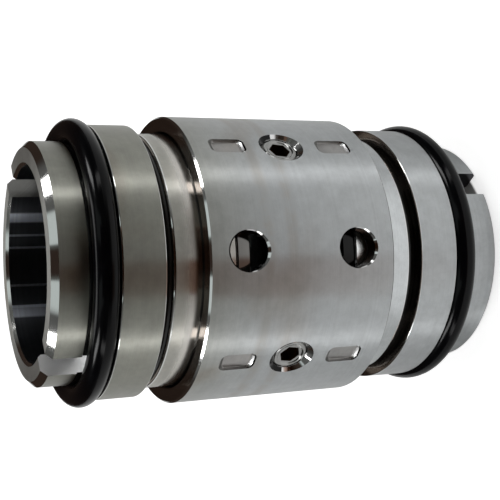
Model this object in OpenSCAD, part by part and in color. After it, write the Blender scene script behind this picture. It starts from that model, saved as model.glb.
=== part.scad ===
// Double mechanical seal with springs, standing on the neck of its lower seat.
// The shaft runs along Z. The two halves mirror each other about the collar's middle,
// but the lower seat has the longer neck.

/* [Shaft] */
// Diameter of the shaft
shaft_d = 25; // [24:0.5:27]
// Radial gap between the shaft and the collar's web
shaft_fit = 0.02; // [0.01:0.01:0.1]
// Radial gap between the shaft and the seal rings and seats
shaft_gap = 0.7; // [0.5:0.1:1.0]

/* [Drive collar] */
// Length of the outer sleeve
sleeve_len = 26.4; // [25.6:0.4:28.8]
// Wall of the outer sleeve
sleeve_wall = 2.2; // [2.0:0.1:2.8]
// Width of the web that sits on the shaft
web_w = 9; // [8.6:0.2:10]
// Chamfer on the sleeve's two ends
sleeve_chamfer = 0.25; // [0.2:0.05:0.6]

/* [Set screws] */
// Rows of set screws round the collar
screw_rows = 4; // [3:1:4]
// Thread diameter
screw_d = 5; // [4:0.5:5]
// Length of a set screw
screw_len = 6; // [5:0.5:6.2]
// Width of the hexagon socket across its flats
screw_key = 2.5; // [2:0.5:2.5]
// Depth of the screw's head below the sleeve
screw_recess = 0.6; // [0.4:0.1:0.8]
// Diameter of the countersink round a screw
screw_sink_d = 6.3; // [5.8:0.1:6.8]
// Radial play of a screw in its hole
screw_play = 0.05; // [0.03:0.01:0.1]

/* [Side holes and drive dents] */
// Diameter of a side hole
side_hole_d = 5.2; // [4.6:0.1:5.6]
// Depth of the chamfer round a side hole
side_hole_chamfer = 0.3; // [0.2:0.05:0.5]
// Length of a drive dent along the shaft
dent_len = 5.2; // [4.8:0.1:6]
// Width of a drive dent
dent_w = 2.9; // [2.6:0.1:3.4]
// Depth of a drive dent
dent_depth = 1.2; // [0.9:0.1:1.4]
// Slope at each end of a drive dent
dent_slope = 0.6; // [0.4:0.1:1.2]
// Corner radius of a drive dent
dent_corner = 0.9; // [0.5:0.1:1.2]

/* [Seal rings] */
// Length of a seal ring behind its nose
ring_len = 8.55; // [8.2:0.05:9.2]
// Wall between a seal ring's O-ring bore and its outside
ring_wall = 2.28; // [2.1:0.02:2.8]
// Radial gap between a seal ring and the sleeve
ring_gap = 0.2; // [0.1:0.05:0.3]
// Chamfer on a seal ring's front edge
ring_chamfer = 0.35; // [0.2:0.05:0.5]
// Depth of the O-ring chamber
chamber_len = 3.4; // [3.2:0.1:3.8]
// Shoulder between the O-ring chamber and the face insert
shoulder_w = 1.2; // [1:0.1:1.6]
// Wall of steel round the face insert
insert_cover = 1.4; // [1.2:0.1:1.6]
// Height of the sealing nose above the steel
nose_h = 1.2; // [1:0.1:1.6]
// Width of the sealing nose
nose_w = 2.4; // [2:0.1:2.6]
// Thickness of the insert's rim in front of the steel
rim_h = 0.45; // [0.3:0.05:0.6]
// Step from the seal ring's outside in to the insert's rim
rim_step = 0.4; // [0.3:0.05:0.6]
// Section of the O-ring on the shaft
shaft_cord_d = 2.8; // [2.6:0.1:3]
// Gap round a pressed or stretched piece
seat_fit = 0.02; // [0.01:0.01:0.04]

/* [Springs and thrust rings] */
// Springs in each half
spring_count = 8; // [4:4:8]
// Outside diameter of a spring
spring_d = 3; // [2.6:0.1:3.2]
// Wire of a spring
spring_wire = 0.5; // [0.4:0.05:0.55]
// Turns of a spring
spring_turns = 5; // [4:1:6]
// Radial gap round a spring in its pocket
pocket_gap = 0.2; // [0.15:0.05:0.3]
// Half of the web left between opposite pockets
pocket_floor = 1.2; // [1:0.1:1.6]
// Gap between the web and a thrust ring at rest
travel_gap = 2.1; // [2.05:0.05:2.4]
// Thickness of a thrust ring
thrust_w = 2; // [1.6:0.1:2.4]

/* [Seats] */
// Width of a seat's flange
flange_w = 5.7; // [5.2:0.1:6.4]
// Step from the neck out to the flange
flange_lip = 2.3; // [2:0.1:2.8]
// Chamfer on the flange's edges
flange_chamfer = 0.2; // [0.1:0.05:0.5]
// Wall of a seat's neck
neck_wall = 3.23; // [2.8:0.1:3.6]
// Length of the upper seat's neck
neck_len = 7.95; // [7.4:0.05:9]
// Length of the lower seat's neck
lower_neck_len = 8.55; // [7.4:0.05:9]
// Chamfer on the end of the neck
neck_chamfer = 0.85; // [0.5:0.05:1.2]
// Chamfer at both ends of the seat's bore
bore_chamfer = 0.4; // [0.2:0.05:0.6]
// Width of an anti-rotation slot
slot_w = 3.9; // [3:0.1:4.4]
// Depth of an anti-rotation slot along the neck
slot_len = 5.4; // [4:0.1:6]
// Direction of the lower seat's first slot
lower_slot_turn = -56; // [-180:1:180]
// Direction of the upper seat's first slot
upper_slot_turn = -145; // [-180:1:180]
// Section of the O-ring on a seat's neck
neck_cord_d = 3.3; // [3:0.1:3.6]
// Depth of the O-ring's seat in the neck
cord_seat_h = 0.2; // [0.2:0.05:0.4]

/* [Hidden] */
$fn = 96;
LOWER = -1;
UPPER = 1;

// Radii from the shaft outwards
shaft_bore_r = shaft_d / 2 + shaft_fit;
clear_bore_r = shaft_d / 2 + shaft_gap;
cord_chamber_r = shaft_bore_r + shaft_cord_d + 2 * seat_fit;
ring_r = cord_chamber_r + ring_wall;
sleeve_in_r = ring_r + ring_gap;
sleeve_r = sleeve_in_r + sleeve_wall;
insert_r = ring_r - insert_cover;
rim_r = ring_r - rim_step;
thrust_in_r = clear_bore_r - shaft_gap / 2;
thrust_r = ring_r - ring_gap / 2;
neck_r = clear_bore_r + neck_wall;
cord_seat_r = neck_r - cord_seat_h;
flange_r = neck_r + flange_lip;

// Heights from the collar's middle plane outwards
web_face = web_w / 2;
thrust_face = web_face + travel_gap;
ring_rear = thrust_face + thrust_w;
ring_front = ring_rear + ring_len;
seal_plane = ring_front + nose_h;
flange_back = seal_plane + flange_w;
upper_end = flange_back + neck_len;
lower_end = flange_back + lower_neck_len;
insert_rear = chamber_len + shoulder_w;

// Side features of the sleeve, centred between the web and the sleeve's end
side_edge = 0.7;
side_plane = web_face + side_hole_d / 2 + side_edge;
row_step = 360 / screw_rows;
screw_top = sleeve_r - screw_recess;
screw_tip = screw_top - screw_len;
sink_h = (screw_sink_d - screw_d) / 2;

// Inside of the drive dents, and the grooves that they key into
bump_inset = 0.1;
bump_h = dent_depth - bump_inset;
bump_len = dent_len - 4 * bump_inset;
bump_w = dent_w - 2 * bump_inset;
groove_gap = 0.3;
travel_spare = 0.1;
groove_w = bump_w + 2 * groove_gap;
groove_r = sleeve_in_r - bump_h - groove_gap;
groove_end = side_plane + bump_len / 2 + travel_gap - travel_spare + groove_gap;

// Springs stand midway across the thrust ring, between the dents and the side holes
spring_pitch_r = (thrust_in_r + thrust_r) / 2;
spring_step = 360 / spring_count;
pocket_r = spring_d / 2 + pocket_gap;
spring_len = thrust_face - pocket_floor - 2 * seat_fit;

steel = "silver";
carbon = "#262626";
rubber = "#171717";
wire = "lightsteelblue";

// Turns a half that is drawn upwards from the middle plane to its side of the seal
module half(side) {
  translate([0, 0, lower_end]) rotate([side == LOWER ? 180 : 0, 0, 0]) children();
}

// Block of the given length at outer_r, with ends that slope inwards down to inner_r
module dent_block(inner_r, outer_r, len, slope, width) {
  spare = 1;
  spread = slope * spare / (outer_r - inner_r);
  intersection() {
    rotate([90, 0, 0])
      linear_extrude(width + spare, center = true)
        polygon([
          [inner_r, slope - len / 2],
          [outer_r + spare, -len / 2 - spread],
          [outer_r + spare, len / 2 + spread],
          [inner_r, len / 2 - slope]
        ]);
    translate([inner_r - spare, 0, 0])
      rotate([0, 90, 0])
        linear_extrude(outer_r - inner_r + 2 * spare)
          rounded_rectangle(len, width, dent_corner);
  }
}

// Flat outline with its long side along X
module rounded_rectangle(len, width, corner) {
  for (x = [-1, 1], y = [-1, 1]) {
    translate([x * (len / 2 - corner), y * (width / 2 - corner)]) circle(corner, $fn = 32);
  }
  square([len, width - 2 * corner], center = true);
  square([len - 2 * corner, width], center = true);
}

// Sleeve and web as one turned profile
module collar_body() {
  half_len = sleeve_len / 2;
  in_edge = 0.2;
  rotate_extrude()
    polygon([
      [shaft_bore_r, -web_face + bore_chamfer],
      [shaft_bore_r + bore_chamfer, -web_face],
      [sleeve_in_r, -web_face],
      [sleeve_in_r, -half_len + in_edge],
      [sleeve_in_r + in_edge, -half_len],
      [sleeve_r - sleeve_chamfer, -half_len],
      [sleeve_r, -half_len + sleeve_chamfer],
      [sleeve_r, half_len - sleeve_chamfer],
      [sleeve_r - sleeve_chamfer, half_len],
      [sleeve_in_r + in_edge, half_len],
      [sleeve_in_r, half_len - in_edge],
      [sleeve_in_r, web_face],
      [shaft_bore_r + bore_chamfer, web_face],
      [shaft_bore_r, web_face - bore_chamfer]
    ]);
}

// Round hole through the wall along X, with a chamfer at the outer surface
module side_hole(hole_d, chamfer, from_r) {
  translate([from_r, 0, 0]) rotate([0, 90, 0]) cylinder(d = hole_d, h = sleeve_r, $fn = 64);
  translate([sleeve_r - chamfer, 0, 0])
    rotate([0, 90, 0])
      cylinder(r1 = hole_d / 2, r2 = hole_d / 2 + 2 * chamfer, h = 2 * chamfer, $fn = 64);
}

// Inner side of a drive dent, rooted a little way into the sleeve's wall
module dent_bump() {
  root = 0.4;
  intersection() {
    dent_block(sleeve_in_r - bump_h, sleeve_in_r, bump_len, dent_slope, bump_w);
    translate([sleeve_in_r - bump_h, -bump_w, -bump_len])
      cube([bump_h + root, 2 * bump_w, 2 * bump_len]);
  }
}

module drive_collar() {
  web_side_r = sleeve_in_r - 1;
  color(steel) half(UPPER) {
    difference() {
      collar_body();
      for (k = [0:screw_rows - 1]) {
        rotate([0, 0, (k + 0.5) * row_step]) side_hole(screw_d, sink_h, shaft_bore_r - 1);
        for (end = [-1, 1]) {
          rotate([0, 0, k * row_step])
            translate([0, 0, end * side_plane])
              side_hole(side_hole_d, side_hole_chamfer, web_side_r);
          rotate([0, 0, (k + 0.5) * row_step])
            translate([0, 0, end * side_plane])
              dent_block(sleeve_r - dent_depth, sleeve_r, dent_len, dent_slope, dent_w);
        }
      }
      for (k = [0:spring_count - 1], end = [-1, 1]) {
        rotate([0, 0, (k + 0.5) * spring_step])
          translate([spring_pitch_r, 0, end > 0 ? pocket_floor : -web_face - 1])
            cylinder(r = pocket_r, h = web_face + 1 - pocket_floor, $fn = 48);
      }
    }
    for (k = [0:screw_rows - 1], end = [-1, 1]) {
      rotate([0, 0, (k + 0.5) * row_step])
        translate([0, 0, end * side_plane])
          dent_bump();
    }
  }
}

// Headless screw along X with a hexagon socket and a cup point
module set_screw(k) {
  r = screw_d / 2 - screw_play;
  edge = 0.35;
  socket_depth = screw_len * 0.4;
  cup_r = screw_d * 0.25;
  color(steel) half(UPPER)
    rotate([0, 0, (k - 0.5) * row_step])
      translate([screw_tip, 0, 0])
        rotate([0, 90, 0])
          difference() {
            rotate_extrude($fn = 64)
              polygon([
                [0, cup_r / 2],
                [cup_r, 0],
                [cup_r + edge / 2, 0],
                [r, r - cup_r],
                [r, screw_len - edge],
                [r - edge, screw_len],
                [0, screw_len]
              ]);
            translate([0, 0, screw_len - socket_depth])
              cylinder(d = screw_key / cos(30), h = socket_depth + 1, $fn = 6);
          }
}

// Grooves at the rear of a ring that the drive dents run in
module dent_grooves(rear, front) {
  for (k = [0:screw_rows - 1]) {
    rotate([0, 0, (k + 0.5) * row_step])
      translate([groove_r, -groove_w / 2, rear])
        cube([sleeve_r, groove_w, front - rear]);
  }
}

module seal_ring(side) {
  lead_in = 0.3;
  rear_edge = 0.2;
  color(steel) half(side)
    difference() {
      translate([0, 0, ring_rear])
        rotate_extrude()
          polygon([
            [cord_chamber_r + lead_in, 0],
            [ring_r - rear_edge, 0],
            [ring_r, rear_edge],
            [ring_r, ring_len - ring_chamfer],
            [ring_r - ring_chamfer, ring_len],
            [insert_r + seat_fit, ring_len],
            [insert_r + seat_fit, insert_rear],
            [clear_bore_r, insert_rear],
            [clear_bore_r, chamber_len],
            [cord_chamber_r, chamber_len],
            [cord_chamber_r, lead_in]
          ]);
      dent_grooves(ring_rear - 1, groove_end);
    }
}

module face_insert(side) {
  edge = 0.15;
  rear = insert_rear + seat_fit;
  in_r = clear_bore_r + edge;
  nose_out_r = rim_r - 2 * edge;
  nose_in_r = nose_out_r - nose_w;
  front = ring_len + nose_h;
  color(carbon) half(side)
    translate([0, 0, ring_rear])
      rotate_extrude()
        polygon([
          [in_r, rear],
          [insert_r - edge, rear],
          [insert_r, rear + edge],
          [insert_r, ring_len + seat_fit],
          [rim_r, ring_len + seat_fit],
          [rim_r, ring_len + rim_h],
          [nose_out_r, ring_len + rim_h],
          [nose_out_r, front - edge],
          [nose_out_r - edge, front],
          [nose_in_r, front],
          [nose_in_r, ring_len],
          [in_r, ring_len]
        ]);
}

module thrust_ring(side) {
  edge = 0.25;
  color(steel) half(side)
    difference() {
      translate([0, 0, thrust_face])
        rotate_extrude()
          polygon([
            [thrust_in_r + edge, 0],
            [thrust_r - edge, 0],
            [thrust_r, edge],
            [thrust_r, thrust_w - edge],
            [thrust_r - edge, thrust_w],
            [thrust_in_r + edge, thrust_w],
            [thrust_in_r, thrust_w - edge],
            [thrust_in_r, edge]
          ]);
      dent_grooves(thrust_face - 1, ring_rear + 1);
    }
}

module o_ring(inner_r, cord_d, height) {
  translate([0, 0, height])
    rotate_extrude()
      translate([inner_r + cord_d / 2, 0])
        circle(d = cord_d, $fn = 48);
}

module shaft_o_ring(side) {
  color(rubber) half(side)
    o_ring(shaft_bore_r + seat_fit, shaft_cord_d, ring_rear + seat_fit + shaft_cord_d / 2);
}

module seat_o_ring(side) {
  color(rubber) half(side)
    o_ring(cord_seat_r + seat_fit, neck_cord_d, flange_back + seat_fit + neck_cord_d / 2);
}

module seat(side) {
  end = side == LOWER ? lower_end : upper_end;
  total = end - seal_plane;
  cord_seat_end = flange_w + neck_cord_d + 4 * seat_fit;
  turn = side == LOWER ? -lower_slot_turn : upper_slot_turn;
  color(steel) half(side)
    difference() {
      translate([0, 0, seal_plane])
        rotate_extrude()
          polygon([
            [clear_bore_r + bore_chamfer, 0],
            [flange_r - flange_chamfer, 0],
            [flange_r, flange_chamfer],
            [flange_r, flange_w - flange_chamfer],
            [flange_r - flange_chamfer, flange_w],
            [cord_seat_r, flange_w],
            [cord_seat_r, cord_seat_end],
            [neck_r, cord_seat_end],
            [neck_r, total - neck_chamfer],
            [neck_r - neck_chamfer, total],
            [clear_bore_r + bore_chamfer, total],
            [clear_bore_r, total - bore_chamfer],
            [clear_bore_r, bore_chamfer]
          ]);
      for (k = [0, 1]) {
        rotate([0, 0, turn + 180 * k])
          translate([clear_bore_r - 1, -slot_w / 2, end - slot_len])
            cube([neck_wall + 2, slot_w, slot_len + 1]);
      }
    }
}

// Height of the wire's centre after so many turns: close end turns, open ones between
function wire_rise(turn) =
  let (
    close_pitch = spring_wire * 1.2,
    free_rise = spring_len - spring_wire - 2 * close_pitch,
    open_pitch = free_rise / (spring_turns - 2)
  )
  turn < 1 ? turn * close_pitch
  : turn > spring_turns - 1 ? close_pitch + free_rise + (turn - spring_turns + 1) * close_pitch
  : close_pitch + (turn - 1) * open_pitch;

module spring(side, k) {
  sides = 6;
  steps = 10;
  last = spring_turns * steps;
  coil_r = (spring_d - spring_wire) / 2;
  points = [
    for (i = [0:last], j = [0:sides - 1])
      let (
        a = 360 * i / steps,
        b = 360 * j / sides,
        r = coil_r + spring_wire / 2 * cos(b)
      )
      [r * cos(a), r * sin(a), spring_wire / 2 * (1 + sin(b)) + wire_rise(i / steps)]
  ];
  walls = [
    for (i = [0:last - 1], j = [0:sides - 1])
      let (next = (j + 1) % sides)
      [i * sides + j, (i + 1) * sides + j, (i + 1) * sides + next, i * sides + next]
  ];
  first_cap = [for (j = [0:sides - 1]) j];
  last_cap = [for (j = [sides - 1:-1:0]) last * sides + j];
  color(wire) half(side)
    rotate([0, 0, (k - 0.5) * spring_step])
      translate([spring_pitch_r, 0, pocket_floor + seat_fit])
        polyhedron(points, concat([first_cap, last_cap], walls));
}

for (k = [1:screw_rows]) {
  set_screw(k);
}
for (k = [1:spring_count]) {
  spring(UPPER, k);
  spring(LOWER, k);
}
drive_collar();
seal_ring(UPPER);  // seal_ring_upper
seal_ring(LOWER);  // seal_ring_lower
face_insert(UPPER);  // face_insert_upper
face_insert(LOWER);  // face_insert_lower
thrust_ring(UPPER);  // thrust_ring_upper
thrust_ring(LOWER);  // thrust_ring_lower
shaft_o_ring(UPPER);  // shaft_o_ring_upper
shaft_o_ring(LOWER);  // shaft_o_ring_lower
seat(UPPER);  // seat_upper
seat(LOWER);  // seat_lower
seat_o_ring(UPPER);  // seat_o_ring_upper
seat_o_ring(LOWER);  // seat_o_ring_lower
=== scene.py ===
import bpy
import bmesh
from math import atan2, copysign, cos, degrees, pi, radians, sin
from mathutils import Matrix, Vector


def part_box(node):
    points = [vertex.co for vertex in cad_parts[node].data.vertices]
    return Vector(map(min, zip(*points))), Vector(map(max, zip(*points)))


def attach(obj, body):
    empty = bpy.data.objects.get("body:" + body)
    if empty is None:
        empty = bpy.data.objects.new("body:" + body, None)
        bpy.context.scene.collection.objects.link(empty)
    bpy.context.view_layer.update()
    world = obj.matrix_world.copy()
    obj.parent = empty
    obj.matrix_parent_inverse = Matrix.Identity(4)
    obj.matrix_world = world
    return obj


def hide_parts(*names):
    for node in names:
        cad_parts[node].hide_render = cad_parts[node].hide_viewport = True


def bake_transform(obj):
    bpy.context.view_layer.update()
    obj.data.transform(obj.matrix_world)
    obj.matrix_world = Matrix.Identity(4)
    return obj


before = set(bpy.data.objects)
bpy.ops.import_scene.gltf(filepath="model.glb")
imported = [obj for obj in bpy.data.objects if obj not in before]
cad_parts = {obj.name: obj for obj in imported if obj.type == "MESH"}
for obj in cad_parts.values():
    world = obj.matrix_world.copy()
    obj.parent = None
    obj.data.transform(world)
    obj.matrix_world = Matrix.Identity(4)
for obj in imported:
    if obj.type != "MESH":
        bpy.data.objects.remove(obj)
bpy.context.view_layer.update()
scene = bpy.context.scene
scene.view_settings.view_transform = "Standard"
mm = 0.001


class Wire:  # one output socket, on which sums, products and the like add Math nodes
    def __init__(self, sheet, socket):
        self.sheet = sheet
        self.socket = socket

    def __add__(self, other):
        return self.sheet.calc("ADD", self, other)

    __radd__ = __add__

    def __sub__(self, other):
        return self.sheet.calc("SUBTRACT", self, other)

    def __rsub__(self, other):
        return self.sheet.calc("SUBTRACT", other, self)

    def __mul__(self, other):
        return self.sheet.calc("MULTIPLY", self, other)

    __rmul__ = __mul__

    def __truediv__(self, other):
        return self.sheet.calc("DIVIDE", self, other)

    def __pow__(self, other):
        return self.sheet.calc("POWER", self, other)


class Sheet:  # the nodes of one material, or of the world
    def __init__(self, owner):
        owner.use_nodes = True
        self.tree = owner.node_tree
        self.tree.nodes.clear()

    def node(self, kind, settings, sockets, output=0):
        made = self.tree.nodes.new(kind)
        for key, value in settings.items():
            setattr(made, key, value)
        for key, value in sockets.items():
            if isinstance(value, Wire):
                self.tree.links.new(value.socket, made.inputs[key])
            else:
                made.inputs[key].default_value = value
        return Wire(self, made.outputs[output]) if made.outputs else made

    def calc(self, operation, first, second=0.0):
        return self.node("ShaderNodeMath", {"operation": operation}, {0: first, 1: second})

    def split(self, vector):
        parts = self.node("ShaderNodeSeparateXYZ", {}, {0: vector})
        return [Wire(self, socket) for socket in parts.socket.node.outputs]

    def fade(self, value, low, high):  # 0 below low, 1 above high
        settings = {"interpolation_type": "SMOOTHSTEP", "clamp": True}
        return self.node("ShaderNodeMapRange", settings, {0: value, 1: low, 2: high, 3: 0.0, 4: 1.0})

    def mixColor(self, factor, first, second):
        return self.node("ShaderNodeMix", {"data_type": "RGBA"}, {0: factor, 6: first, 7: second}, 2)


def grey(level):  # a linear colour
    return (level, level, level, 1)


# Metals. Turning marks run round the shaft. They vary along it on a wall and with the radius on an end face.
turning = {  # scales per metre, heights and widths in metres
    "fineScale": 1900,
    "wideScale": 380,
    "cloudScale": 500.0,
    "smearScale": 60.0,
    "stained": (0.54, 0.74),
    "stainsFrom": (0.029, 0.036),  # the lower half stays clean
    "bandWidth": (0.0002, 0.0013),
    "bandGaps": (0.80, 1.10),
    "bandStrength": 0.65,
    "bumpDepth": 0.00002,
}


def turnedSteel(name, look):
    material = bpy.data.materials.new(name)
    sheet = Sheet(material)
    place = sheet.node("ShaderNodeTexCoord", {}, {}, "Object")
    x, y, z = sheet.split(place)
    across = z + (x * x + y * y) ** 0.5
    fine = sheet.node("ShaderNodeTexNoise", {"noise_dimensions": "1D"}, {
        "W": across * turning["fineScale"], "Detail": 4.0, "Roughness": 0.75,
    })
    wide = sheet.node("ShaderNodeTexNoise", {"noise_dimensions": "1D"}, {
        "W": across * turning["wideScale"], "Detail": 2.0,
    })
    cloud = sheet.node("ShaderNodeTexNoise", {}, {
        "Vector": place, "Scale": turning["cloudScale"], "Detail": 5.0, "Roughness": 0.7,
    })
    smear = sheet.node("ShaderNodeTexNoise", {}, {
        "Vector": place, "Scale": turning["smearScale"], "Detail": 3.0, "Distortion": 0.6,
    })
    marks = (fine - 0.5) * look["fineMark"] + (wide - 0.5) * look["wideMark"]
    marks = marks + (cloud - 0.5) * look["cloudMark"]
    # painted light and shade: the colour by height, wherever a finish's low and high colours differ
    high = sheet.fade(z, *look["heights"])
    shadedTone = sheet.mixColor(high, look["lowColor"], look["highColor"])
    rough = high * (look.get("highRoughness", look["roughness"]) - look["roughness"]) + look["roughness"]
    stains = sheet.fade(smear, *turning["stained"]) * sheet.fade(z, *turning["stainsFrom"])
    for height in look["rubbed"]:  # brown rings that handling leaves
        away = sheet.calc("ABSOLUTE", z - height)
        band = (1 - sheet.fade(away, *turning["bandWidth"])) * sheet.fade(smear + cloud, *turning["bandGaps"])
        stains = sheet.calc("MAXIMUM", stains, band * turning["bandStrength"])
    worn = sheet.mixColor(stains * look["stain"], shadedTone, look["stainColor"])
    for turn, width, strength in look.get("paintedReflections", ()):  # painted reflections: pale lines along a bore, in degrees
        away = sheet.calc("ABSOLUTE", sheet.calc("ARCTAN2", y, x) - radians(turn))
        reflectionMask = (1 - sheet.fade(away, radians(width * 0.6), radians(width))) * strength
        worn = sheet.mixColor(reflectionMask, worn, look["reflectionPaint"])
    shade = sheet.node("ShaderNodeMapRange", {}, {0: marks, 1: -0.5, 2: 0.5, 3: 0.0, 4: 1.0})
    lift = sheet.mixColor(shade, grey(0.0), grey(1.0))  # the marks add up to the colour once more
    color = sheet.node("ShaderNodeVectorMath", {"operation": "MULTIPLY_ADD"}, {0: worn, 1: lift, 2: worn})
    bump = sheet.node("ShaderNodeBump", {}, {
        "Strength": look["bump"], "Distance": turning["bumpDepth"], "Height": fine * 0.6 + wide * 0.4,
    })
    skin = sheet.node("ShaderNodeBsdfPrincipled", {}, {
        "Base Color": color,
        "Metallic": 1.0,
        "Roughness": rough + (cloud - 0.5) * look["roughMark"] + (wide - 0.5) * look["roughMark"],
        "Anisotropic": look["anisotropic"],
        "Anisotropic Rotation": 0.25,
        "Normal": bump,
    })
    sheet.node("ShaderNodeOutputMaterial", {}, {"Surface": skin})
    return material


satin = {
    "lowColor": (0.355, 0.368, 0.374, 1),
    "highColor": (0.252, 0.253, 0.225, 1),
    "heights": (0.034, 0.054),  # between which the low colour turns into the high one; painted light and shade: paler and cooler low down, darker and warmer high up
    "stainColor": (0.190, 0.150, 0.110, 1),
    "rubbed": (0.0377, 0.0343),
    "stain": 0.45,
    "roughness": 0.36,
    "roughMark": 0.06,
    "anisotropic": 0.93,
    "fineMark": 0.34,
    "wideMark": 0.20,
    "cloudMark": 0.80,
    "bump": 0.1,
}
smooth = {
    **satin,
    "highColor": (0.40, 0.38, 0.34, 1),
    "stain": 0.1,
    "rubbed": (),
    "roughness": 0.13,
}
honed = {  # the upper seal ring, polished near the sleeve only, and paler there as a painted sheen
    **smooth,
    "lowColor": (0.56, 0.54, 0.51, 1),
    "highColor": (0.380, 0.376, 0.345, 1),
    "heights": (0.0466, 0.0486),
    "highRoughness": 0.36,
}
bright = {
    **satin,
    "lowColor": (0.45, 0.45, 0.45, 1),
    "highColor": (0.45, 0.45, 0.44, 1),
    "stain": 0.0,
    "rubbed": (),
    "roughness": 0.09,
    "roughMark": 0.05,
    "anisotropic": 0.4,
    "fineMark": 0.30,
    "cloudMark": 0.04,
    "bump": 0.02,
}
dark = {  # polished end faces, with painted reflection: painted dark like the dim room they mirror
    **bright,
    "lowColor": (0.21, 0.185, 0.165, 1),
    "highColor": (0.21, 0.185, 0.165, 1),
    "fineMark": 0.55,
    "wideMark": 0.40,
    "roughness": 0.15,
    "roughMark": 0.0,
    "bump": 0.03,
}
milled = {  # the slot face in the light, its pale colour painted light
    **satin,
    "lowColor": (0.80, 0.83, 0.88, 1),
    "highColor": (0.80, 0.83, 0.88, 1),
    "stain": 0.0,
    "rubbed": (),
    "roughness": 0.42,
    "fineMark": 1.2,
    "wideMark": 0.30,
    "anisotropic": 0.3,
}
shadowed = {  # painted shade: a dark copy of the milled finish for the slot face away from the light, and for dent walls by the rim
    **milled,
    "lowColor": (0.12, 0.12, 0.115, 1),
    "highColor": (0.12, 0.12, 0.115, 1),
    "anisotropic": 0.0,
}
pressed = {  # the dents
    **satin,
    "lowColor": (0.25, 0.245, 0.24, 1),
    "highColor": (0.23, 0.22, 0.212, 1),
    "roughness": 0.33,
    "anisotropic": 0.2,
    "cloudMark": 0.9,
}
glint = {  # the end wall of a dent, painted pale as a highlight
    **pressed,
    "lowColor": (0.95, 0.95, 0.95, 1),
    "highColor": (0.95, 0.95, 0.95, 1),
    "roughness": 0.30,
}
clean = {  # the part of the seal rings that the sleeve keeps clean, unstained; painted light makes it pale, palest on the lower ring, where a side hole shows it
    **satin,
    "lowColor": (0.80, 0.79, 0.78, 1),
    "highColor": (0.40, 0.385, 0.36, 1),
    "heights": (0.030, 0.035),
    "stain": 0.0,
    "rubbed": (),
    "roughness": 0.17,
}
# painted shade: a dark thrust ring, black on the lower one, where a side hole shows it
thrust = {
    **bright,
    "lowColor": (0.012, 0.012, 0.012, 1),
    "highColor": (0.16, 0.155, 0.15, 1),
    "heights": (0.030, 0.035),
    "roughness": 0.12,
}
key = {  # the inside of a hex socket, dark brown
    **bright,
    "lowColor": (0.11, 0.072, 0.042, 1),
    "highColor": (0.11, 0.072, 0.042, 1),
    "roughness": 0.30,
    "anisotropic": 0.0,
}
point = {  # the set screws
    **bright,
    "lowColor": (0.24, 0.24, 0.235, 1),
    "highColor": (0.24, 0.24, 0.235, 1),
    "roughness": 0.14,
    "anisotropic": 0.3,
}
edge = {  # painted shade: edges that look down, away from the light, and other dark lips and sinks; darker in the upper half
    **bright,
    "lowColor": (0.055, 0.055, 0.060, 1),
    "highColor": (0.012, 0.012, 0.012, 1),
    "heights": (0.015, 0.030),
}
line = {  # painted shadow: the sleeve's lower edge, a thin dark line, and painted shade on the side holes' walls
    **edge,
    "lowColor": (0.008, 0.008, 0.008, 1),
}
# painted shade: the bore's dark colour; its pale streaks are painted reflections
bored = {
    **bright,
    "lowColor": (0.060, 0.063, 0.070, 1),
    "highColor": (0.060, 0.063, 0.070, 1),
    "paintedReflections": (  # each an angle, a half width and a strength
        (57, 4.0, 1.0), (69, 0.9, 0.5), (77, 0.9, 0.7), (101, 0.9, 0.6), (115, 1.2, 1.0), (119, 4.5, 0.6),
    ),
    "reflectionPaint": (0.55, 0.58, 0.65, 1),
    "roughness": 0.30,
    "anisotropic": 0.6,
    "wideMark": 0.5,
}
faced = {
    **satin,
    "lowColor": (0.29, 0.29, 0.28, 1),
    "highColor": (0.29, 0.29, 0.275, 1),
    "roughness": 0.50,
    "anisotropic": 0.5,
}
rubber = {
    "color": (0.0015, 0.0015, 0.0022, 1),
    "dustColor": (0.004, 0.004, 0.0055, 1),
    "grain": 900.0,
    "bump": 0.04,
    "roughness": 0.15,
    "specular": 0.13,
}
lapped = {
    "color": (0.005, 0.0045, 0.004, 1),
    "dustColor": (0.010, 0.009, 0.008, 1),
    "grain": 2500.0,
    "bump": 0.05,
    "roughness": 0.20,
    "specular": 0.4,
}


dusting = {"scale": 300.0, "cover": (0.55, 0.8)}


def blackFinish(name, look):
    material = bpy.data.materials.new(name)
    sheet = Sheet(material)
    place = sheet.node("ShaderNodeTexCoord", {}, {}, "Object")
    cloud = sheet.node("ShaderNodeTexNoise", {}, {"Vector": place, "Scale": look["grain"], "Detail": 4.0})
    dust = sheet.node("ShaderNodeTexNoise", {}, {
        "Vector": place, "Scale": dusting["scale"], "Detail": 6.0, "Roughness": 0.7,
    })
    color = sheet.mixColor(sheet.fade(dust, *dusting["cover"]), look["color"], look["dustColor"])
    bump = sheet.node("ShaderNodeBump", {}, {"Strength": look["bump"], "Distance": 0.00003, "Height": cloud})
    skin = sheet.node("ShaderNodeBsdfPrincipled", {}, {
        "Base Color": color,
        "Metallic": 0.0,
        "Roughness": look["roughness"] + (cloud - 0.5) * 0.12,
        "Normal": bump,
        "Specular IOR Level": look["specular"],
    })
    sheet.node("ShaderNodeOutputMaterial", {}, {"Surface": skin})
    return material


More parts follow.
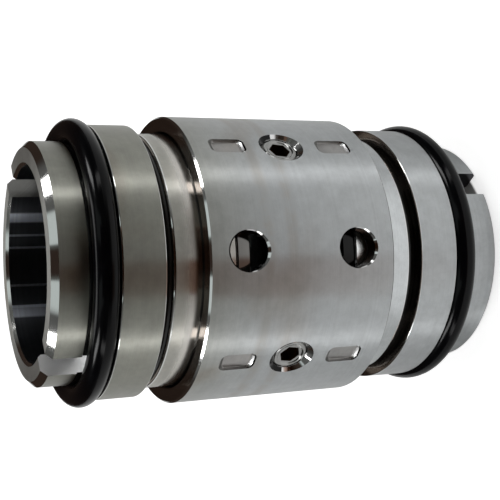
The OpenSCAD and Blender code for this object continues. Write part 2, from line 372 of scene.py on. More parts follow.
finishes = {
    "satin": turnedSteel("satinTurnedSteel", satin),
    "bright": turnedSteel("brightTurnedSteel", bright),
    "smooth": turnedSteel("fineTurnedSteel", smooth),
    "dark": turnedSteel("darkPaintedReflectionSteel", dark),
    "milled": turnedSteel("milledSteel", milled),
    "pressed": turnedSteel("pressedSteel", pressed),
    "bored": turnedSteel("boredSteel", bored),
    "faced": turnedSteel("facedSteel", faced),
    "shadowed": turnedSteel("shadowedSteel", shadowed),
    "clean": turnedSteel("cleanPaintedLightSteel", clean),
    "honed": turnedSteel("honedSteel", honed),
    "line": turnedSteel("lineSteel", line),
    "glint": turnedSteel("glintSteel", glint),
    "thrust": turnedSteel("thrustSteel", thrust),
    "key": turnedSteel("socketSteel", key),
    "edge": turnedSteel("edgeSteel", edge),
    "point": turnedSteel("screwSteel", point),
    "rubber": blackFinish("blackRubber", rubber),
    "black": blackFinish("blackFace", lapped),
}
print("finishes made")


# The whole seal. The first two are in metres, from the collar in model.glb. All other lengths of pieces are
# in millimetres.
collarLow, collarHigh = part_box("drive_collar")
seal = {
    "middle": (collarLow[2] + collarHigh[2]) / 2,
    "sleeveHalf": (collarHigh[2] - collarLow[2]) / 2,
    "sleeveRadius": 20.04,
    "bore": 12.52,  # fits the shaft
    "clearBore": 13.2,  # stands clear of it
    "rows": 4,  # of set screws and dents
    "steps": 256,
    "spare": 1,  # how far a cutter reaches past the surface that it opens
}


def rowTurn(k):  # where a row stands, in degrees
    return 45 + 90 * k


def newObject(name, bm, body=None, replaced=()):
    mesh = bpy.data.meshes.new(name)
    bm.to_mesh(mesh)
    bm.free()
    piece = bpy.data.objects.new(name, mesh)
    scene.collection.objects.link(piece)
    if body:
        if isinstance(body, str):
            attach(piece, body)
        else:
            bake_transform(piece)
        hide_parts(*replaced)
    return piece


def cutCorners(corners):  # each corner is a radius, a height and a chamfer; an R makes it an arc
    points = []
    count = len(corners)
    for k, (r, z, cut, *kind) in enumerate(corners):
        here = Vector((r, z))
        if not cut:
            points.append(here)
            continue
        around = (corners[k - 1], corners[(k + 1) % count])
        first, last = [here + (Vector(other[:2]) - here).normalized() * cut for other in around]
        points.append(first)
        if kind:
            for part in (0.25, 0.5, 0.75):  # the arc as a quadratic curve through its two ends
                points.append(first * (1 - part) ** 2 + here * 2 * part * (1 - part) + last * part ** 2)
        points.append(last)
    return points


def spinRound(bm, steps):  # a full turn of an outline round Z
    bmesh.ops.spin(bm, geom=bm.verts[:] + bm.edges[:], cent=(0, 0, 0), axis=(0, 0, 1), dvec=(0, 0, 0),
                   angle=2 * pi, steps=steps, use_merge=True, use_duplicate=False)
    bmesh.ops.remove_doubles(bm, verts=bm.verts, dist=1e-8)
    bmesh.ops.recalc_face_normals(bm, faces=bm.faces)


def turned(points, steps=seal["steps"]):  # from a closed outline of radius and height
    bm = bmesh.new()
    outline = [bm.verts.new((p[0] * mm, 0, p[1] * mm)) for p in points]
    for first, second in zip(outline, outline[1:] + outline[:1]):
        bm.edges.new((first, second))
    spinRound(bm, steps)
    return bm


def swing(bm, angle, axis="Z"):
    bmesh.ops.rotate(bm, cent=(0, 0, 0), matrix=Matrix.Rotation(radians(angle), 3, axis), verts=bm.verts)


def slide(bm, x, z):
    bmesh.ops.translate(bm, vec=(x * mm, 0, z * mm), verts=bm.verts)


def raiseToMiddle(bm):
    bmesh.ops.translate(bm, vec=(0, 0, seal["middle"]), verts=bm.verts)


def toHalf(bm, half):  # the lower half is the upper one turned over
    turn = Matrix.Rotation(pi if half == "lower" else 0, 4, "X")
    bmesh.ops.transform(bm, matrix=Matrix.Translation((0, 0, seal["middle"])) @ turn, verts=bm.verts)


def block(length, width, height):
    bm = bmesh.new()
    bmesh.ops.create_cube(bm, size=1)
    bmesh.ops.scale(bm, vec=(length * mm, width * mm, height * mm), verts=bm.verts)
    return bm


def rod(radius, length, sides):
    bm = bmesh.new()
    bmesh.ops.create_cone(bm, cap_ends=True, segments=sides, radius1=radius * mm, radius2=radius * mm,
                          depth=length * mm)
    return bm


def cordEnd(diameter, sides):  # an open circle that faces along Y
    bm = bmesh.new()
    bmesh.ops.create_circle(bm, cap_ends=False, segments=sides, radius=diameter / 2 * mm)
    swing(bm, 90, "X")
    return bm


def shadeByAngle(piece, angle=8):
    piece.data.shade_smooth()
    piece.data.set_sharp_from_angle(angle=radians(angle))


def carve(piece, cutters, operation="DIFFERENCE"):
    for cutter in cutters:
        change = piece.modifiers.new("carve", "BOOLEAN")
        change.operation = operation
        change.solver = "EXACT"
        change.use_self = False
        change.object = cutter
    bpy.context.view_layer.update()
    done = piece.evaluated_get(bpy.context.evaluated_depsgraph_get())
    mesh = bpy.data.meshes.new_from_object(done)
    piece.modifiers.clear()
    old = piece.data
    piece.data = mesh
    bpy.data.meshes.remove(old)
    for cutter in cutters:
        bpy.data.objects.remove(cutter)


def paint(piece, kinds, rule):  # rule gives the name of a finish from a face's middle and normal
    piece.data.materials.clear()
    for kind in kinds:
        piece.data.materials.append(finishes[kind])
    for face in piece.data.polygons:
        face.material_index = kinds.index(rule(face.center, face.normal))


def radiusOf(point):
    return (point[0] ** 2 + point[1] ** 2) ** 0.5 / mm


def heightOf(point):  # above or below the middle
    return abs(point[2] - seal["middle"]) / mm


def isUpright(normal):
    return abs(normal[2]) < 0.05


def isLevel(normal):
    return abs(normal[2]) > 0.95


def steelRule(wallFinishes, endFinishes):  # by a wall's radius or an end face's height, bright elsewhere
    def rule(centre, normal):
        if isUpright(normal):
            for wall, finish in wallFinishes.items():
                if abs(radiusOf(centre) - wall) < 0.06:
                    return finish
        if isLevel(normal):
            for end, finish in endFinishes.items():
                if abs(heightOf(centre) - end) < 0.05:
                    return finish
        return "bright"
    return rule


# Seats
seat = {
    "face": 18.35,
    "faceChamfer": 0.12,
    "flangeRadius": 18.73,
    "flangeWidth": 5.7,
    "flangeChamfers": {"upper": 0.2, "lower": 0.1},
    "ringSeatDepth": 0.2,  # where the O-ring sits on the neck
    "ringSeatWidth": 3.38,
    "neckRadius": 16.43,
    "neckLengths": {"upper": 7.95, "lower": 8.55},
    "neckChamfers": {"upper": 0.85, "lower": 0.45},
    "boreChamfer": 0.4,
    "slotWidth": 3.9,
    "slotDepth": 5.4,
    "slotReach": 6,
    "slotRadius": 14.8,
    "turns": {"upper": (-145, 32.5), "lower": (56, 236)},
}


def makeSeat(half):
    back = seat["face"] + seat["flangeWidth"]
    top = back + seat["neckLengths"][half]
    slotFloor = top - seat["slotDepth"]
    ringSeat = seat["neckRadius"] - seat["ringSeatDepth"]
    bm = turned(cutCorners([
        (seal["clearBore"], seat["face"], seat["boreChamfer"]),
        (seat["flangeRadius"], seat["face"], seat["faceChamfer"], "R"),
        (seat["flangeRadius"], back, seat["flangeChamfers"][half], "R"),
        (ringSeat, back, 0),
        (ringSeat, back + seat["ringSeatWidth"], 0),
        (seat["neckRadius"], back + seat["ringSeatWidth"], 0.05),
        (seat["neckRadius"], top, seat["neckChamfers"][half]),
        (seal["clearBore"], top, seat["boreChamfer"]),
    ]))
    toHalf(bm, half)
    name = "seat_" + half
    piece = newObject(name + "_body", bm, half + "_seat", [name])
    cutters = []
    for turn in seat["turns"][half]:
        slot = block(seat["slotReach"], seat["slotWidth"], seat["slotDepth"] + seal["spare"])
        slide(slot, seat["slotRadius"], top - seat["slotDepth"] / 2 + seal["spare"] / 2)
        swing(slot, turn)
        toHalf(slot, half)
        cutters.append(newObject("cutter", slot))
    carve(piece, cutters)
    plain = steelRule(
        {seat["flangeRadius"]: "satin", seat["neckRadius"]: "satin", seal["clearBore"]: "bored"},
        {top: "faced", seat["face"]: "dark"},
    )

    def rule(centre, normal):
        r, height = radiusOf(centre), heightOf(centre)
        inSlot = height > slotFloor - 0.1 and 13.3 < r < 16.3 and isUpright(normal)
        if not (inSlot or abs(height - slotFloor) < 0.05):
            finish = plain(centre, normal)
            # painted shade on bright faces that look down
            return "edge" if finish == "bright" and normal[2] < -0.15 else finish
        # painted shade on the lower seat's slot; the upper seat's slot faces get painted light and painted
        # shade
        if half == "lower":
            return "edge"
        return "shadowed" if centre[0] > 0 else "milled"
    paint(piece, ["satin", "bright", "milled", "shadowed", "edge", "bored", "faced", "dark"], rule)
    shadeByAngle(piece)


# O-rings
rubberRings = {
    "seat_o_ring_": {"rides": "_seat", "innerRadius": 16.25, "cord": 3.3, "height": 25.72},
    "shaft_o_ring_": {"rides": "_ring", "innerRadius": 12.54, "cord": 2.8, "height": 10.02},
}


def makeRubberRing(name, half):
    size = rubberRings[name]
    bm = cordEnd(size["cord"], 40)
    slide(bm, size["innerRadius"] + size["cord"] / 2, size["height"])
    spinRound(bm, seal["steps"])
    toHalf(bm, half)
    piece = newObject(name + half + "_body", bm, half + size["rides"], [name + half])
    piece.data.materials.append(finishes["rubber"])
    piece.data.shade_smooth()


# Rotating seal rings, with their black faces and thrust rings
ring = {
    "rear": 8.6,
    "front": 17.15,
    "radius": 17.64,
    "chamfer": 0.35,
    "covered": 13.0,  # up to here the sleeve covers it
    "cupRadius": 15.38,
    "cupFloor": 12.0,
    "insertRadius": 16.26,
    "insertFloor": 13.2,
    "grooveWidth": 3.3,
    "grooveRadius": 16.44,
    "grooveEnd": 12.5,
    "grooveReach": 6,
}


def grooveCutters(half, low, high):
    cutters = []
    for k in range(seal["rows"]):
        groove = block(ring["grooveReach"], ring["grooveWidth"], high - low)
        slide(groove, ring["grooveRadius"] + ring["grooveReach"] / 2, (low + high) / 2)
        swing(groove, rowTurn(k))
        toHalf(groove, half)
        cutters.append(newObject("cutter", groove))
    return cutters


def makeSealRing(half):
    bm = turned(cutCorners([
        (ring["cupRadius"], ring["rear"], 0.3),
        (ring["radius"], ring["rear"], 0.2),
        (ring["radius"], ring["covered"], 0),
        (ring["radius"], ring["front"], ring["chamfer"], "R"),
        (ring["insertRadius"], ring["front"], 0),
        (ring["insertRadius"], ring["insertFloor"], 0),
        (seal["clearBore"], ring["insertFloor"], 0),
        (seal["clearBore"], ring["cupFloor"], 0),
        (ring["cupRadius"], ring["cupFloor"], 0),
    ]))
    toHalf(bm, half)
    name = "seal_ring_" + half
    piece = newObject(name + "_body", bm, half + "_ring", [name])
    carve(piece, grooveCutters(half, ring["rear"] - seal["spare"], ring["grooveEnd"]))
    plain = steelRule({ring["radius"]: "smooth"}, {})

    def rule(centre, normal):
        finish = plain(centre, normal)
        if finish != "smooth":
            return finish
        if heightOf(centre) < ring["covered"]:
            return "clean"
        return "honed" if centre[2] > seal["middle"] else "smooth"
    paint(piece, ["smooth", "clean", "bright", "honed"], rule)
    shadeByAngle(piece)


insert = {
    "bore": 13.35,
    "back": 13.22,
    "bodyRadius": 16.24,
    "rimBack": 17.17,
    "rimFront": 17.6,
    "rimRadius": 17.24,
    "noseRadius": 16.94,
    "noseBore": 14.54,
    "noseFoot": 17.15,
}


def makeFaceInsert(half):
    bm = turned(cutCorners([
        (insert["bore"], insert["back"], 0),
        (insert["bodyRadius"], insert["back"], 0.15),
        (insert["bodyRadius"], insert["rimBack"], 0),
        (insert["rimRadius"], insert["rimBack"], 0.06),
        (insert["rimRadius"], insert["rimFront"], 0.08),
        (insert["noseRadius"], insert["rimFront"], 0.04),
        (insert["noseRadius"], seat["face"], 0.12),
        (insert["noseBore"], seat["face"], 0),
        (insert["noseBore"], insert["noseFoot"], 0),
        (insert["bore"], insert["noseFoot"], 0),
    ]))
    toHalf(bm, half)
    name = "face_insert_" + half
    piece = newObject(name + "_body", bm, half + "_ring", [name])
    piece.data.materials.append(finishes["black"])
    shadeByAngle(piece)


thrustRing = {"bore": 12.85, "radius": 17.54, "low": 6.6, "high": 8.6, "chamfer": 0.25}


def makeThrustRing(half):
    bm = turned(cutCorners([
        (thrustRing["bore"], thrustRing["low"], thrustRing["chamfer"]),
        (thrustRing["radius"], thrustRing["low"], thrustRing["chamfer"]),
        (thrustRing["radius"], thrustRing["high"], thrustRing["chamfer"]),
        (thrustRing["bore"], thrustRing["high"], thrustRing["chamfer"]),
    ]))
    toHalf(bm, half)
    name = "thrust_ring_" + half
    piece = newObject(name + "_body", bm, half + "_ring", [name])
    carve(piece, grooveCutters(half, thrustRing["low"] - seal["spare"], thrustRing["high"] + seal["spare"]))
    piece.data.materials.append(finishes["thrust"])
    shadeByAngle(piece)


# Drive collar
collar = {
    "webFace": 4.5,
    "sleeveIn": 17.84,
    "boreChamfer": 0.4,
    "chamfer": 0.25,
    "thinChamfer": 0.2,
    "sidePlane": 7.8,
    "sideHole": 2.6,
    "sideChamfer": 0.3,
    "sideStart": 16.5,
    "screwHole": 2.5,
    "screwSink": 0.65,
    "screwStart": 11,
    "dentLength": 5.2,
    "dentWidth": 2.9,
    "dentDepth": 0.5,
    "dentCorner": 0.9,
    "dentFootCorner": 0.6,
    "dentTaper": 1.5,  # how much shorter the floor is than the rim
    "dentLean": 0.24,  # how much narrower it is
    "dentMouth": (0.5, 0.4, 0.3, 0.1),  # growth outside the rim in height, length, width and corner
    "dentHeights": (4, 11),  # the next three hold all faces of a dent
    "dentInside": 18.2,
    "dentTurn": 9,
    "endBand": 0.3,
    "bumpLevels": (  # inside the sleeve's wall, each a height over it, a length, a width and a corner radius
        (-1.1, 3.5, 1.9, 0.5),
        (-0.95, 3.9, 2.3, 0.8),
        (0, 4.8, 2.7, 0.9),
        (0.4, 4.8, 2.7, 0.9),
    ),
    "pockets": 8,
    "pocketTurn": 22.5,
    "pocketRadius": 1.7,
    "pocketPitch": 15.195,
    "pocketFloor": 1.2,
}


def aimed(bm, angle, height):  # lays a shape that points along Z on the radius at this angle and height
    swing(bm, 90, "Y")
    slide(bm, 0, height)
    swing(bm, angle)
    raiseToMiddle(bm)
    return newObject("cutter", bm)


def roundHole(radius, chamfer, start, surface):
    points = [
        (0, start),
        (radius, start),
        (radius, surface - chamfer),
        (radius + chamfer * 2, surface + chamfer),
        (0, surface + chamfer),
    ]
    return turned(points, 64)


def roundedBlock(levels):  # levels along Z, each a height, length, width and corner radius
    bm = bmesh.new()
    rims = []
    sides = 32
    for height, length, width, corner in levels:
        made = bmesh.ops.create_circle(bm, cap_ends=False, segments=sides, radius=corner * mm)
        turn = Matrix.Rotation(pi / sides, 3, "Z")
        bmesh.ops.rotate(bm, cent=(0, 0, 0), matrix=turn, verts=made["verts"])
        for vert in made["verts"]:  # a quarter of the circle goes to each corner
            vert.co.x += copysign((length / 2 - corner) * mm, vert.co.x)
            vert.co.y += copysign((width / 2 - corner) * mm, vert.co.y)
            vert.co.z = height * mm
        rims.append(list({edge for vert in made["verts"] for edge in vert.link_edges}))
    for lower, upper in zip(rims, rims[1:]):
        bmesh.ops.bridge_loops(bm, edges=lower + upper)
    bmesh.ops.holes_fill(bm, edges=rims[0] + rims[-1], sides=0)
    bmesh.ops.recalc_face_normals(bm, faces=bm.faces)
    return bm


def pressedForm(surface):  # the hollow of a dent: its floor, rounded foot, short wall and rounded lip
    depth, length, width = collar["dentDepth"], collar["dentLength"], collar["dentWidth"]
    foot, corner = collar["dentFootCorner"], collar["dentCorner"]
    taper, lean = collar["dentTaper"], collar["dentLean"]
    levels = []
    for k in range(9):
        part = k / 8
        height = surface - depth + depth * (1 - cos(pi * part)) / 2
        below = 1 - part
        levels.append((height, length - taper * below, width - lean * below, foot + (corner - foot) * part))
    levels.append([size + more for size, more in zip((surface, length, width, corner), collar["dentMouth"])])
    return roundedBlock(levels)


def makeCollar():
    r, half = seal["sleeveRadius"], seal["sleeveHalf"] / mm
    web, inside = collar["webFace"], collar["sleeveIn"]
    bm = turned(cutCorners([
        (seal["bore"], -web, collar["boreChamfer"]),
        (inside, -web, 0),
        (inside, -half, collar["thinChamfer"]),
        (r, -half, collar["thinChamfer"]),
        (r, half, collar["chamfer"]),
        (inside, half, collar["thinChamfer"]),
        (inside, web, 0),
        (seal["bore"], web, collar["boreChamfer"]),
    ]))
    raiseToMiddle(bm)
    piece = newObject("drive_collar_body", bm, "collar", ["drive_collar"])
    cutters = []
    bumps = []
    for k in range(seal["rows"]):
        screwHole = roundHole(collar["screwHole"], collar["screwSink"], collar["screwStart"], r)
        cutters.append(aimed(screwHole, rowTurn(k), 0))
        for side in (-1, 1):
            height = side * collar["sidePlane"]
            sideHole = roundHole(collar["sideHole"], collar["sideChamfer"], collar["sideStart"], r)
            cutters.append(aimed(sideHole, 90 * k, height))
            cutters.append(aimed(pressedForm(r), rowTurn(k), height))
            bump = roundedBlock([(inside + level[0], *level[1:]) for level in collar["bumpLevels"]])
            bumps.append(aimed(bump, rowTurn(k), height))
    for k in range(collar["pockets"]):
        for side in (-1, 1):
            top = web + seal["spare"]
            pocket = rod(collar["pocketRadius"], top - collar["pocketFloor"], 40)
            slide(pocket, collar["pocketPitch"], side * (top + collar["pocketFloor"]) / 2)
            swing(pocket, collar["pocketTurn"] + 360 / collar["pockets"] * k)
            raiseToMiddle(pocket)
            cutters.append(newObject("cutter", pocket))
    carve(piece, cutters)
    carve(piece, bumps, "UNION")
    low, high = collar["dentHeights"]

    def rule(centre, normal):
        q, height = radiusOf(centre), heightOf(centre)
        outward = (normal[0] * centre[0] + normal[1] * centre[1]) / (q * mm)
        if abs(q - r) < 0.06 and outward > 0.99:
            return "satin"
        turn = (degrees(atan2(centre[1], centre[0])) - 45) % 90  # from the nearest row
        inRow = min(turn, 90 - turn) < collar["dentTurn"]
        if low < height < high and q > collar["dentInside"] and inRow:
            if outward > 0.975:
                return "pressed"
            # painted highlight on the deep end wall of a dent, painted shade on its lip and on walls by the
            # rim
            if normal[2] > 0.35:
                return "glint" if q < r - 0.16 else "edge"
            return "pressed" if q < r - 0.1 and normal[2] >= -0.35 else "shadowed"
        # painted reflection on the sleeve's polished end faces, painted shade on their inner edge
        if isLevel(normal) and abs(height - half) < 0.05:
            return "dark"
        atEnd = height > half - collar["endBand"]
        if atEnd and q < inside + collar["endBand"]:
            return "edge"
        aside = q * sin(radians(turn - 45))
        fromHole = ((height - collar["sidePlane"]) ** 2 + aside ** 2) ** 0.5
        onHole = abs(outward) < 0.2 and height > web and fromHole < collar["sideHole"] + 0.4
        # painted shade on the side holes' walls, painted shadow along the sleeve's lower edge
        if onHole and q < r - collar["sideChamfer"]:
            return "line"
        if atEnd and q > r - collar["endBand"] and centre[2] < seal["middle"]:
            return "line"
        if height < low and q > r - 1 and normal[2] < -0.15:  # painted shade on the sinks of the screw holes
            return "edge"
        return "bright"
    paint(piece, ["satin", "bright", "pressed", "shadowed", "dark", "edge", "line", "glint"], rule)
    shadeByAngle(piece, 24)


# Set screws
screw = {
    "radius": 2.45,
    "length": 6,
    "top": 19.44,
    "cupRadius": 1.25,
    "cupDepth": 0.6,
    "tipRadius": 1.5,
    "tipLength": 1.2,
    "rim": ((0, 0.3), (0.21, 0.06), (0.3, 0.02), (0.45, 0), (0.6, 0.04), (0.75, 0.14)),  # inwards and down
    "key": 2.6,
    "keyTurn": 20,
    "socket": 2.4,
}


def makeScrew(number):
    r, length = screw["radius"], screw["length"]
    turn = rowTurn(number - 1)
    rim = [(r - inwards, length - down) for inwards, down in screw["rim"]]
    bm = turned([
        (0, screw["cupDepth"]),
        (screw["cupRadius"], 0),
        (screw["tipRadius"], 0),
        (r, screw["tipLength"]),
        *rim,
        (0, rim[-1][1]),
    ], 64)
    slide(bm, 0, screw["top"] - length)
    socket = rod(screw["key"] / cos(pi / 6) / 2, screw["socket"] + seal["spare"], 6)
    swing(socket, screw["keyTurn"])
    slide(socket, 0, screw["top"] - screw["socket"] / 2 + seal["spare"] / 2)
    for shape in (bm, socket):
        swing(shape, 90, "Y")
        swing(shape, turn)
        raiseToMiddle(shape)
    name = "set_screw_%d" % number
    piece = newObject(name + "_body", bm, name, [name])
    carve(piece, [newObject("cutter", socket)])
    axis = Vector((cos(radians(turn)), sin(radians(turn)), 0))

    def rule(centre, normal):
        away = Vector(centre) - Vector((0, 0, seal["middle"]))
        out = away.dot(axis) / mm
        inside = (away - axis * out * mm).length / mm < screw["key"] * 0.6
        return "key" if inside and out < screw["top"] - 0.2 else "point"
    paint(piece, ["key", "point"], rule)
    shadeByAngle(piece, 20)


# Springs, each a helix with close end turns
spring = {
    "radius": 1.25,
    "wire": 0.5,
    "endPitch": 0.6,
    "endTurns": 1,
    "openTurns": 3,
    "start": 1.22,
    "length": 5.36,
    "stepsPerTurn": 20,
}


def makeSpring(half, number):
    bm = cordEnd(spring["wire"], 10)
    slide(bm, spring["radius"], spring["start"] + spring["wire"] / 2)
    endRise = spring["endPitch"] * spring["endTurns"]
    openRise = spring["length"] - spring["wire"] - 2 * endRise
    close = (spring["endTurns"], endRise)
    stretches = [close, (spring["openTurns"], openRise), close]
    tip = bm.verts[:] + bm.edges[:]
    firstRim = bm.edges[:]
    for turns, rise in stretches:
        steps = spring["stepsPerTurn"] * turns
        made = bmesh.ops.spin(bm, geom=tip, cent=(0, 0, 0), axis=(0, 0, 1), dvec=(0, 0, rise / steps * mm),
                              angle=2 * pi * turns, steps=steps, use_merge=False, use_duplicate=False)
        tip = [part for part in made["geom_last"] if not isinstance(part, bmesh.types.BMFace)]
    lastRim = [part for part in tip if isinstance(part, bmesh.types.BMEdge)]
    bmesh.ops.holes_fill(bm, edges=firstRim + lastRim, sides=0)
    bmesh.ops.recalc_face_normals(bm, faces=bm.faces)
    slide(bm, collar["pocketPitch"], 0)
    swing(bm, collar["pocketTurn"] + 360 / collar["pockets"] * (number - 1))
    toHalf(bm, half)
    name = "spring_%s_%d" % (half, number)
    side = 1 if half == "upper" else -1
    foot = (0, 0, seal["middle"] + side * spring["start"] * mm)
    head = (0, 0, seal["middle"] + side * (spring["start"] + spring["length"]) * mm)
    pressedBetween = ("collar", half + "_ring", foot, head)  # the collar, the ring and the spring's two ends
    piece = newObject(name + "_coil", bm, pressedBetween, [name])
    piece.data.materials.append(finishes["bright"])
    shadeByAngle(piece, 60)


for half in ("upper", "lower"):
    makeSeat(half)
    for name in rubberRings:
        makeRubberRing(name, half)
    makeSealRing(half)
    makeFaceInsert(half)
    makeThrustRing(half)
    for number in range(1, collar["pockets"] + 1):
        makeSpring(half, number)
print("seats, rings and springs made")
makeCollar()
for number in range(1, seal["rows"] + 1):
    makeScrew(number)
print("collar and screws made")


# Camera: where the photograph was taken from, in sleeve radii from the collar's middle
shot = {
    "place": (0.0, -6.829, 2.958),
    "right": (-0.03344, -0.40239, -0.91486),
    "up": (0.99942, -0.01970, -0.02786),
    "back": (-0.00681, -0.91526, 0.40281),
    "turn": -2.2,
    "lens": 73.5,
    "sensor": 36,
}


def makeCamera():
    data = bpy.data.cameras.new("camera")
    data.lens = shot["lens"]
    data.sensor_width = shot["sensor"]
    data.sensor_fit = "HORIZONTAL"
    data.clip_start = 0.01
    camera = bpy.data.objects.new("camera", data)
    scene.collection.objects.link(camera)
    basis = Matrix((shot["right"], shot["up"], shot["back"])).transposed().to_4x4()
    place = Matrix.Translation(Vector(shot["place"]) * (seal["sleeveRadius"] * mm))
    turn = Matrix.Rotation(radians(shot["turn"]), 4, "Z")
    camera.matrix_world = Matrix.Translation((0, 0, seal["middle"])) @ turn @ place @ basis
    scene.camera = camera


makeCamera()


# Floor. In front of the seal the pale sheet ends and the dim room begins, which only the metal sees.
ground = {  # lengths in metres from the middle of the floor
    "radius": 1.6,
    "white": (0.78, 0.82),
    "mottleScale": 14.0,
    "front": (0.35, 0.95),
    "sheetEnd": (0.080, 0.150),
    "underSeal": (0.0144, 0.0150),
    "bandLean": 17,  # the brown band stands a little to the left of the lens, in degrees
    "band": (0.955, 0.982),
    "bandStart": (0.050, 0.085),
    "dusk": (0.10, 0.088, 0.076, 1),
    "brown": (0.045, 0.020, 0.011, 1),
    "tinted": (0.50, 0.32, 0.25, 1),
    "seenGlow": 0.72,
    "mirrorGlow": 0.08,
    "frontGlow": 0.32,
    "bandDims": 0.8,
}


def makeFloor():
    bm = bmesh.new()
    bmesh.ops.create_circle(bm, cap_ends=True, segments=96, radius=ground["radius"])
    floor = newObject("floor", bm)
    material = bpy.data.materials.new("paleFloor")
    sheet = Sheet(material)
    place = sheet.node("ShaderNodeTexCoord", {}, {}, "Object")
    x, y, z = sheet.split(place)
    far = (x * x + y * y) ** 0.5
    ahead = sheet.fade(y * -1 / far, *ground["front"])
    dim = sheet.fade(far, *ground["sheetEnd"]) * ahead
    # painted shadow: the floor under the seal does not glow, so it shows dark
    outside = sheet.fade(far, *ground["underSeal"])
    mottle = sheet.node("ShaderNodeTexNoise", {}, {
        "Vector": place, "Scale": ground["mottleScale"], "Detail": 3.0,
    })
    seen = sheet.node("ShaderNodeLightPath", {}, {}, "Is Camera Ray")
    glossy = sheet.node("ShaderNodeLightPath", {}, {}, "Is Glossy Ray")
    through = sheet.node("ShaderNodeLightPath", {}, {}, "Is Transmission Ray")
    white = sheet.mixColor(mottle, grey(ground["white"][0]), grey(ground["white"][1]))
    lean = radians(ground["bandLean"])
    band = sheet.fade((y * -cos(lean) - x * sin(lean)) / far, *ground["band"])
    shaded = sheet.mixColor(band, ground["dusk"], ground["brown"])
    tint = band * sheet.fade(far, *ground["bandStart"])
    near = sheet.mixColor(tint * (1 - seen), white, ground["tinted"])
    color = sheet.mixColor(dim * (1 - seen), near, shaded)
    skin = sheet.node("ShaderNodeBsdfDiffuse", {}, {"Color": color})
    mirrored = glossy * (1 - dim) * (ahead * ground["frontGlow"] + ground["mirrorGlow"])
    glowing = ((seen + through) * ground["seenGlow"] + mirrored * (1 - tint * ground["bandDims"])) * outside
    glow = sheet.node("ShaderNodeEmission", {}, {"Color": grey(1.0), "Strength": glowing})
    both = sheet.node("ShaderNodeAddShader", {}, {0: skin, 1: glow})
    sheet.node("ShaderNodeOutputMaterial", {}, {"Surface": both})
    floor.data.materials.append(material)


# The dark camera and hands behind the lens, as a card that only the metal sees
card = {
    "size": (0.145, 0.20),
    "distance": 0.165,
    "slope": 0.45,
    "raised": 0.01,
    "stripe": (0.030, 0.048),
    "brown": (0.040, 0.016, 0.008, 1),
    "dark": (0.08, 0.060, 0.048, 1),
    "pale": (0.14, 0.105, 0.085, 1),
    "cloudScale": 20.0,
}


def makeShade():
    turn = radians(shot["turn"])
    bm = bmesh.new()
    bmesh.ops.create_grid(bm, x_segments=1, y_segments=1, size=0.5)
    bmesh.ops.scale(bm, vec=(*card["size"], 1), verts=bm.verts)
    away = Vector((sin(turn), -cos(turn), card["slope"])).normalized()
    bmesh.ops.transform(bm, matrix=away.to_track_quat("Z", "Y").to_matrix().to_4x4(), verts=bm.verts)
    middle = away * card["distance"] + Vector((0, 0, seal["middle"] + card["raised"]))
    bmesh.ops.translate(bm, vec=middle, verts=bm.verts)
    shade = newObject("shade", bm)
    material = bpy.data.materials.new("darkShade")
    sheet = Sheet(material)
    place = sheet.node("ShaderNodeTexCoord", {}, {}, "Object")
    cloud = sheet.node("ShaderNodeTexNoise", {}, {"Vector": place, "Scale": card["cloudScale"]})
    x, y, z = sheet.split(place)
    aside = sheet.calc("ABSOLUTE", x * cos(turn) + y * sin(turn))
    hands = sheet.mixColor(cloud, card["dark"], card["pale"])
    color = sheet.mixColor(sheet.fade(aside, *card["stripe"]), card["brown"], hands)
    skin = sheet.node("ShaderNodeBsdfDiffuse", {}, {"Color": color})
    sheet.node("ShaderNodeOutputMaterial", {}, {"Surface": skin})
    shade.data.materials.append(material)
    shade.visible_camera = False
    shade.visible_shadow = False
    shade.visible_diffuse = False


# Lamps. Azimuth 0 is the camera's side and 90 is +X, in degrees; the rest is in metres and watts.
lamps = {
    "softboxRight": {"azimuth": 93, "elevation": 48, "distance": 0.7, "size": (0.30, 0.14), "power": 1.3},
    "softboxLeft": {"azimuth": -93, "elevation": 48, "distance": 0.7, "size": (0.30, 0.14), "power": 1.3},
    "stripRight": {"azimuth": 63, "elevation": 6, "distance": 0.6, "size": (0.10, 0.4), "power": 0.38},
    "stripLeft": {"azimuth": -70, "elevation": 6, "distance": 0.6, "size": (0.10, 0.4), "power": 0.38},
    "backTop": {"azimuth": 180, "elevation": 66, "distance": 0.8, "size": (0.6, 0.3), "power": 1.6},
}


def makeLamp(name, lamp):
    data = bpy.data.lights.new(name, "AREA")
    data.shape = "RECTANGLE"
    data.size, data.size_y = lamp["size"]
    data.energy = lamp["power"]
    light = bpy.data.objects.new(name, data)
    scene.collection.objects.link(light)
    azimuth, elevation = radians(lamp["azimuth"]), radians(lamp["elevation"])
    toward = Vector((sin(azimuth) * cos(elevation), -cos(azimuth) * cos(elevation), sin(elevation)))
    light.location = Vector((0, 0, seal["middle"])) + toward * lamp["distance"]
    light.rotation_euler = toward.to_track_quat("Z", "Y").to_euler()
    light.visible_camera = False


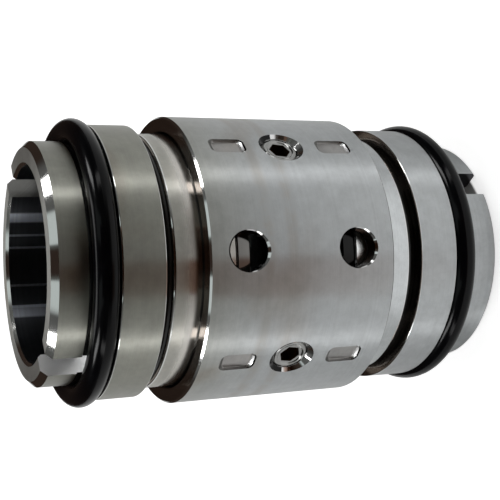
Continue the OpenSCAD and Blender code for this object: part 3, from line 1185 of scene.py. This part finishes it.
# Room that the metal mirrors, in shares of a direction. Each pair is where a patch fades.
room = {
    "ahead": (0.0, 0.08),
    "brownWidth": (0.14, 0.22),
    "brownTop": (0.85, 0.93),
    "beamWidth": (0.012, 0.025),
    "warmLow": (0.13, 0.078, 0.056, 1),
    "warmHigh": (0.034, 0.023, 0.018, 1),
    "warmHeights": (0.40, 0.62),
    "behind": (0.35, 0.60),
    "behindTop": (0.62, 0.78),
    "panelBottom": (0.55, 0.65),
    "panelInside": (0.16, 0.19),
    "panelOutside": (0.46, 0.50),
    "panelColor": (0.62, 0.68, 0.67, 1),
    "beltBottom": (0.08, 0.16),
    "beltTop": (0.46, 0.58),
    "beltColor": (0.045, 0.045, 0.043, 1),
    "sideColor": (0.105, 0.107, 0.103, 1),
    "duskWidth": (0.40, 0.75),
    "middleWidth": (0.02, 0.09),
    "frontColor": (0.085, 0.088, 0.080, 1),
    "middleColor": (0.060, 0.040, 0.032, 1),
}


def makeWorld():
    world = bpy.data.worlds.new("studio")
    scene.world = world
    sheet = Sheet(world)
    toward = sheet.node("ShaderNodeTexCoord", {}, {}, "Generated")
    x, y, z = sheet.split(toward)
    seen = sheet.node("ShaderNodeLightPath", {}, {}, "Is Camera Ray")
    ahead = sheet.fade(y * -1, *room["ahead"])
    side = x * x / (x * x + y * y + 0.0001)
    brown = ahead * (1 - sheet.fade(side, *room["brownWidth"])) * (1 - sheet.fade(z, *room["brownTop"]))
    dusk = ahead * (1 - sheet.fade(side, *room["duskWidth"]))
    beam = ahead * (1 - sheet.fade(x * x, *room["beamWidth"]))
    behind = sheet.fade(y, *room["behind"]) * (1 - sheet.fade(z, *room["behindTop"]))
    wide = sheet.calc("ABSOLUTE", x)
    panelSides = sheet.fade(wide, *room["panelInside"]) * (1 - sheet.fade(wide, *room["panelOutside"]))
    panel = sheet.fade(z, *room["panelBottom"]) * panelSides * ahead
    belt = sheet.fade(z, *room["beltBottom"]) * (1 - sheet.fade(z, *room["beltTop"]))
    sides = sheet.mixColor(belt, room["sideColor"], room["beltColor"])
    middle = ahead * (1 - sheet.fade(side, *room["middleWidth"]))
    front = sheet.mixColor(middle, room["frontColor"], room["middleColor"])
    plain = sheet.mixColor(dusk, sides, front)
    warm = sheet.mixColor(sheet.fade(z, *room["warmHeights"]), room["warmLow"], room["warmHigh"])
    color = sheet.mixColor(sheet.calc("MAXIMUM", brown, beam), plain, warm)
    color = sheet.mixColor(behind, color, room["warmHigh"])
    color = sheet.mixColor(panel, color, room["panelColor"])
    color = sheet.mixColor(seen, color, grey(1.0))
    light = sheet.node("ShaderNodeBackground", {}, {"Color": color, "Strength": 1.0})
    sheet.node("ShaderNodeOutputWorld", {}, {"Surface": light})


makeFloor()
makeShade()
for name, lamp in lamps.items():
    makeLamp(name, lamp)
makeWorld()
print("camera, floor and light made")
